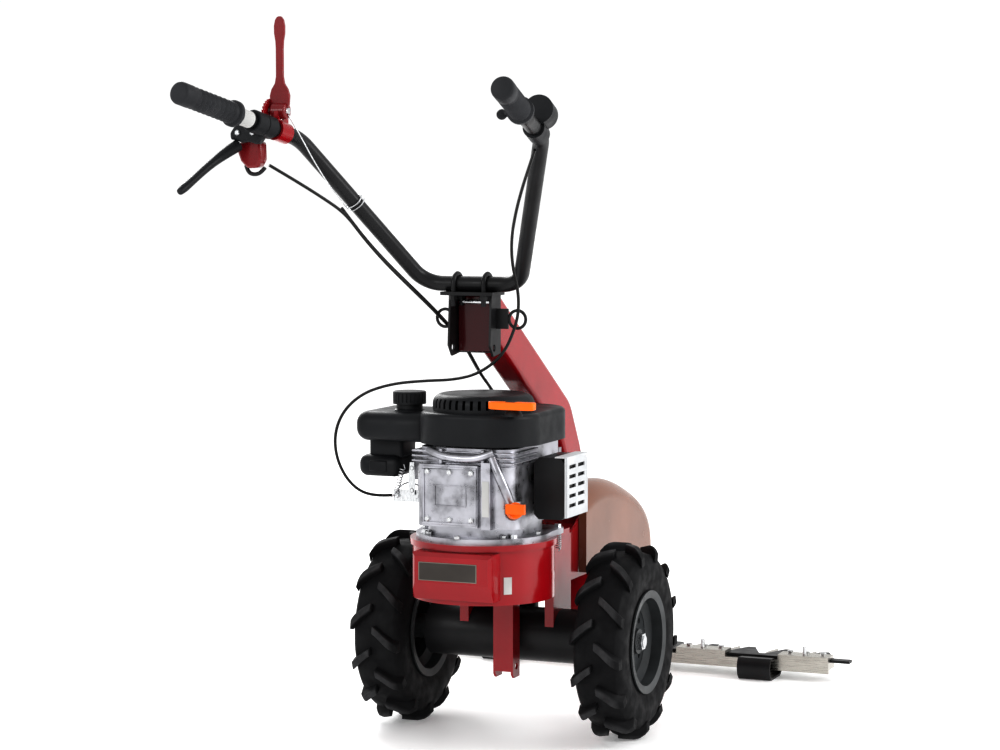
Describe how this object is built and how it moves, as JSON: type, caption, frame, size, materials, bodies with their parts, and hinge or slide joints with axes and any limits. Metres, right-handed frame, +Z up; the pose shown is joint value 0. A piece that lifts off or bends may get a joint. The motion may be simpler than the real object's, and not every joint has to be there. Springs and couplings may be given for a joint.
{
  "type": "brush mower",
  "caption": "walk-behind sickle-bar brush mower with two lugged wheels, a vertical-shaft engine over a belt deck, high handlebars and a wide reciprocating cutter bar",
  "frame": {"origin": "on the ground, under the middle of the wheel axle, which is the bottom centre of the bounding box", "axes": "+Z up, +Y the way the mower drives, +X to the operator's right"},
  "size_m": [0.87, 1.3854, 1.1928],
  "materials": {
    "red_paint": "deep red gloss enamel",
    "black_paint": "black powder coat",
    "steel": "zinc plated or bare steel",
    "cast_aluminium": "as cast, light grey",
    "black_plastic": "fine moulded texture",
    "orange_plastic": "orange",
    "grip_rubber": "ribbed grip rubber",
    "tyre_rubber": "lugged tread",
    "rim_paint": "dark grey satin",
    "belt_rubber": "V-belt",
    "hood_plastic": "glossy russet",
    "bronze": "bearing bronze"
  },
  "bodies": {
    "chassis": {"axle_casing": "black_paint", "bearings": "bronze", "axle_seals": "belt_rubber", "drive_belts": "belt_rubber", "deck": "red_paint", "counterweight": "red_paint", "rear_spur": "red_paint", "side_plates": "red_paint", "frame_bolts": "steel", "column": "red_paint", "hood": "hood_plastic", "sump_flange": "cast_aluminium", "crankcase": "cast_aluminium", "cylinder_head": "cast_aluminium", "valve_cover": "cast_aluminium", "spark_plug": "steel", "shroud": "black_plastic", "fuel_tank": "black_plastic", "air_filter_case": "black_plastic", "carburettor": "cast_aluminium", "governor_bracket": "steel", "muffler": "black_paint", "muffler_guard": "steel", "handlebar_tube": "black_paint", "grips": "grip_rubber", "handlebar_bracket": "black_paint", "clamp_bolts": "black_paint", "lever_quadrant": "red_paint", "clutch_perch": "black_plastic", "throttle_housing": "black_plastic", "throttle_cable": "black_plastic", "traction_cable": "black_plastic", "cutter_cable": "black_plastic", "cutter_carrier": "black_paint", "finger_bar": "steel", "knife_pressers": "steel", "presser_screws": "steel", "skids": "black_paint"},
    "drive_axle": {"axle_shaft": "steel", "rims": "rim_paint", "tyres": "tyre_rubber", "wheel_nuts": "steel", "worm_wheel": "bronze"},
    "worm": {"worm_shaft": "steel", "traction_pulley": "steel"},
    "engine_crank": {"crankshaft": "steel", "engine_pulley": "steel", "flywheel_fan": "cast_aluminium"},
    "cutter_crank_body": {"cutter_crank": "steel", "cutter_pulley": "steel"},
    "rocker": {"rocker_arm": "black_paint"},
    "knife_body": {"knife": "black_paint"},
    "cutter_lever_body": {"cutter_lever": "red_paint"},
    "clutch_lever_body": {"clutch_lever": "black_plastic"},
    "latch_body": {"lever_latch": "red_paint"},
    "throttle_lever_body": {"throttle_lever": "black_plastic"},
    "throttle_arm_body": {"throttle_arm": "steel"},
    "starter_body": {"starter_handle": "orange_plastic"},
    "fuel_cap_body": {"fuel_cap": "black_plastic"},
    "dipstick_body": {"dipstick": "orange_plastic"}
  },
  "joints": [
    {"name": "axle_turn", "type": "hinge", "parent": "chassis", "child": "drive_axle", "pos_m": [0, 0, 0.165], "axis": [1, 0, 0], "continuous": true},
    {"name": "worm_turn", "type": "hinge", "parent": "chassis", "child": "worm", "pos_m": [0, 0.04, 0.3], "axis": [0, 0, 1], "continuous": true},
    {"name": "engine_turn", "type": "hinge", "parent": "chassis", "child": "engine_crank", "pos_m": [0, -0.14, 0.3], "axis": [0, 0, 1], "continuous": true},
    {"name": "cutter_crank_turn", "type": "hinge", "parent": "chassis", "child": "cutter_crank_body", "pos_m": [0, 0.31, 0.3], "axis": [0, 0, 1], "continuous": true},
    {"name": "knife_slide", "type": "slide", "parent": "chassis", "child": "knife_body", "axis": [1, 0, 0], "range_m": [-0.0381, 0.0381]},
    {"name": "rocker_swing", "type": "hinge", "parent": "chassis", "child": "rocker", "pos_m": [0, 0.42, 0.073], "axis": [0, 0, -1], "range_deg": [-12.63, 12.63]},
    {"name": "cutter_lever_swing", "type": "hinge", "parent": "chassis", "child": "cutter_lever_body", "pos_m": [-0.21399, -0.44798, 1.04585], "axis": [-1, 0, 0], "range_deg": [0, 35]},
    {"name": "clutch_lever_pull", "type": "hinge", "parent": "chassis", "child": "clutch_lever_body", "pos_m": [-0.272, -0.492, 0.99], "axis": [-0.8688, 0.2584, 0.4224], "range_deg": [0, 24], "stiffness_Nm_per_rad": 1.5, "springref_deg": -28.65},
    {"name": "latch_press", "type": "hinge", "parent": "chassis", "child": "latch_body", "pos_m": [-0.246, -0.462, 0.988], "axis": [-1, 0, 0], "range_deg": [0, 15], "stiffness_Nm_per_rad": 0.5, "springref_deg": -17.19},
    {"name": "throttle_swing", "type": "hinge", "parent": "chassis", "child": "throttle_lever_body", "pos_m": [0.2, -0.466, 1.038], "axis": [0, 0.1961, 0.9806], "range_deg": [0, 40]},
    {"name": "throttle_arm_swing", "type": "hinge", "parent": "chassis", "child": "throttle_arm_body", "pos_m": [-0.141, -0.0785, 0.452], "axis": [0, 1, 0], "range_deg": [0, 30]},
    {"name": "starter_pull", "type": "slide", "parent": "chassis", "child": "starter_body", "axis": [0, -1, 0], "range_m": [0, 0.12], "stiffness_N_per_m": 20, "springref_m": -0.15},
    {"name": "fuel_cap_turn", "type": "hinge", "parent": "chassis", "child": "fuel_cap_body", "pos_m": [-0.148, -0.11, 0.57], "axis": [0, 0, 1], "range_deg": [0, 90]},
    {"name": "dipstick_turn", "type": "hinge", "parent": "chassis", "child": "dipstick_body", "pos_m": [0.086, -0.222, 0.404], "axis": [0.5747, -0.7663, 0.2873], "range_deg": [0, 90]}
  ],
  "couplings": [
    {"joint": "worm_turn", "follows": "axle_turn", "ratio": 30},
    {"joint": "rocker_swing", "follows": "knife_slide", "rad_per_m": 5.6497},
    {"joint": "throttle_arm_swing", "follows": "throttle_swing", "ratio": 0.75}
  ]
}
